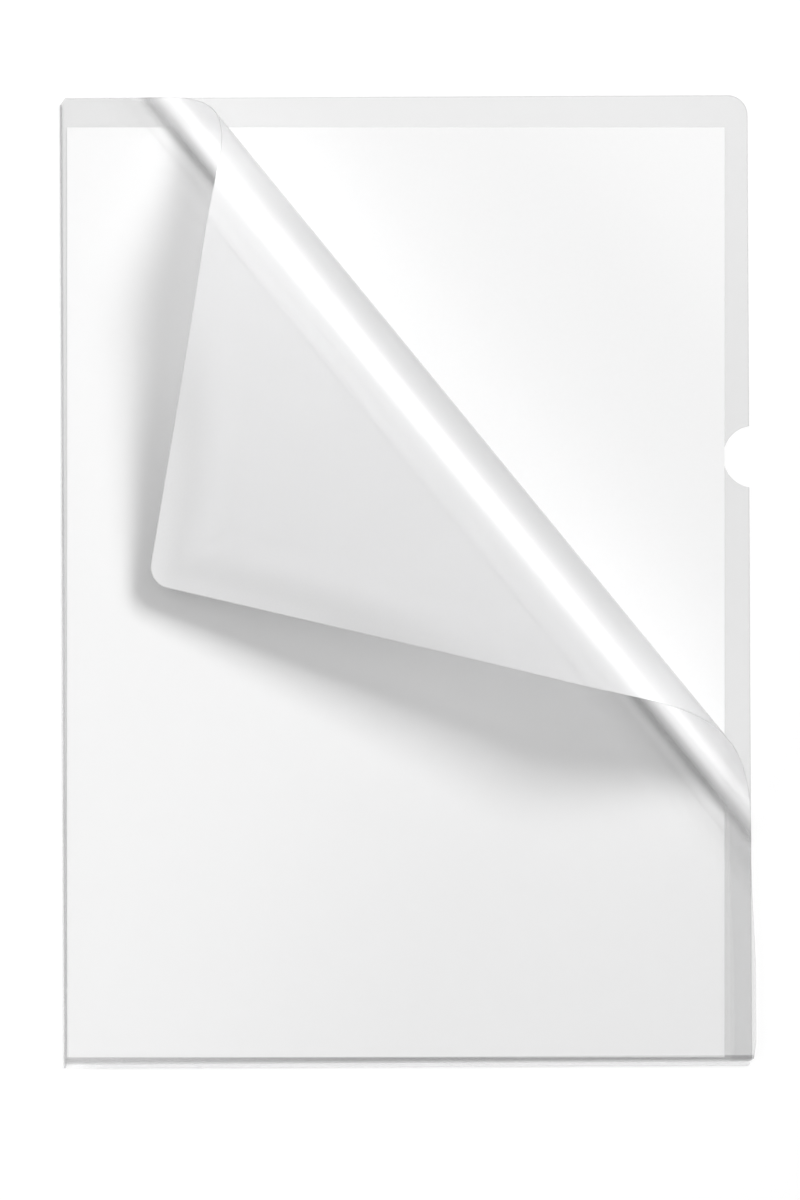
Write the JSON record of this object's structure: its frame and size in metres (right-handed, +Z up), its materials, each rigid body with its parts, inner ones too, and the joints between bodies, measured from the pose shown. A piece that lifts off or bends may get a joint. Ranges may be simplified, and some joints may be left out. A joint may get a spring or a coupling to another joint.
{
  "type": "clear plastic document envelope",
  "caption": "Clear film envelope for a paper sheet, folded on the left and welded along the bottom, with a thumb notch and a front sheet whose free corner rolls back.",
  "frame": {"origin": "on the table under the middle of the envelope's outline, as it lies flat", "axes": "+X towards the open right edge, +Y towards the open top edge, +Z up from the table"},
  "size_m": [0.22, 0.31, 0.0378],
  "materials": {
    "film": "clear polypropylene film with a faint milky tint and a finely embossed satin surface",
    "paper": "smooth uncoated white office paper"
  },
  "bodies": {
    "envelope": {"back_sheet": "film", "spine_fold": "film", "bottom_weld": "film", "front_sheet": "film"},
    "roll_1": {"front_roll_1": "film"},
    "roll_2": {"front_roll_2": "film"},
    "roll_3": {"front_roll_3": "film"},
    "roll_4": {"front_roll_4": "film"},
    "roll_5": {"front_roll_5": "film"},
    "roll_6": {"front_roll_6": "film"},
    "roll_7": {"front_roll_7": "film"},
    "roll_8": {"front_roll_8": "film"},
    "roll_9": {"front_roll_9": "film"},
    "roll_10": {"front_roll_10": "film"},
    "roll_11": {"front_roll_11": "film"},
    "flap": {"front_flap": "film"},
    "paper": {"paper_sheet": "paper"}
  },
  "joints": [
    {"name": "corner_bend_1", "type": "hinge", "parent": "envelope", "child": "roll_1", "pos_m": [-0.00801, 0.05944, 0.0008], "axis": [-0.6293, 0.7771, 0], "range_deg": [0, 16.42], "stiffness_Nm_per_rad": 0.05, "springref_deg": 0.46},
    {"name": "corner_bend_2", "type": "hinge", "parent": "roll_1", "child": "roll_2", "pos_m": [-0.00405, 0.06264, 0.0023], "axis": [-0.6293, 0.7771, 0], "range_deg": [0, 16.42], "stiffness_Nm_per_rad": 0.05, "springref_deg": 0.74},
    {"name": "corner_bend_3", "type": "hinge", "parent": "roll_2", "child": "roll_3", "pos_m": [-0.00058, 0.06545, 0.00518], "axis": [-0.6293, 0.7771, 0], "range_deg": [0, 16.42], "stiffness_Nm_per_rad": 0.05, "springref_deg": 0.96},
    {"name": "corner_bend_4", "type": "hinge", "parent": "roll_3", "child": "roll_4", "pos_m": [0.00211, 0.06763, 0.0092], "axis": [-0.6293, 0.7771, 0], "range_deg": [0, 16.42], "stiffness_Nm_per_rad": 0.05, "springref_deg": 1.12},
    {"name": "corner_bend_5", "type": "hinge", "parent": "roll_4", "child": "roll_5", "pos_m": [0.00381, 0.06901, 0.01404], "axis": [-0.6293, 0.7771, 0], "range_deg": [0, 16.42], "stiffness_Nm_per_rad": 0.05, "springref_deg": 1.22},
    {"name": "corner_bend_6", "type": "hinge", "parent": "roll_5", "child": "roll_6", "pos_m": [0.00438, 0.06947, 0.01929], "axis": [-0.6293, 0.7771, 0], "range_deg": [0, 16.42], "stiffness_Nm_per_rad": 0.05, "springref_deg": 1.25},
    {"name": "corner_bend_7", "type": "hinge", "parent": "roll_6", "child": "roll_7", "pos_m": [0.00377, 0.06898, 0.02454], "axis": [-0.6293, 0.7771, 0], "range_deg": [0, 16.42], "stiffness_Nm_per_rad": 0.05, "springref_deg": 1.22},
    {"name": "corner_bend_8", "type": "hinge", "parent": "roll_7", "child": "roll_8", "pos_m": [0.00203, 0.06757, 0.02936], "axis": [-0.6293, 0.7771, 0], "range_deg": [0, 16.42], "stiffness_Nm_per_rad": 0.05, "springref_deg": 1.15},
    {"name": "corner_bend_9", "type": "hinge", "parent": "roll_8", "child": "roll_9", "pos_m": [-0.00069, 0.06536, 0.03335], "axis": [-0.6293, 0.7771, 0], "range_deg": [0, 16.42], "stiffness_Nm_per_rad": 0.05, "springref_deg": 1.04},
    {"name": "corner_bend_10", "type": "hinge", "parent": "roll_9", "child": "roll_10", "pos_m": [-0.00418, 0.06254, 0.03618], "axis": [-0.6293, 0.7771, 0], "range_deg": [0, 16.42], "stiffness_Nm_per_rad": 0.05, "springref_deg": 0.91},
    {"name": "corner_bend_11", "type": "hinge", "parent": "roll_10", "child": "roll_11", "pos_m": [-0.00815, 0.05932, 0.03763], "axis": [-0.6293, 0.7771, 0], "range_deg": [0, 16.42], "stiffness_Nm_per_rad": 0.05, "springref_deg": 0.78},
    {"name": "corner_bend_12", "type": "hinge", "parent": "roll_11", "child": "flap", "pos_m": [-0.01228, 0.05598, 0.03757], "axis": [-0.6293, 0.7771, 0], "range_deg": [0, 16.42], "stiffness_Nm_per_rad": 0.05, "springref_deg": 0.66},
    {"name": "paper_slide", "type": "slide", "parent": "envelope", "child": "paper", "axis": [1, 0, 0], "range_m": [-0.0008, 0.219]}
  ],
  "couplings": [
    {"joint": "corner_bend_2", "follows": "corner_bend_1", "ratio": 1},
    {"joint": "corner_bend_3", "follows": "corner_bend_1", "ratio": 1},
    {"joint": "corner_bend_4", "follows": "corner_bend_1", "ratio": 1},
    {"joint": "corner_bend_5", "follows": "corner_bend_1", "ratio": 1},
    {"joint": "corner_bend_6", "follows": "corner_bend_1", "ratio": 1},
    {"joint": "corner_bend_7", "follows": "corner_bend_1", "ratio": 1},
    {"joint": "corner_bend_8", "follows": "corner_bend_1", "ratio": 1},
    {"joint": "corner_bend_9", "follows": "corner_bend_1", "ratio": 1},
    {"joint": "corner_bend_10", "follows": "corner_bend_1", "ratio": 1},
    {"joint": "corner_bend_11", "follows": "corner_bend_1", "ratio": 1},
    {"joint": "corner_bend_12", "follows": "corner_bend_1", "ratio": 1}
  ]
}
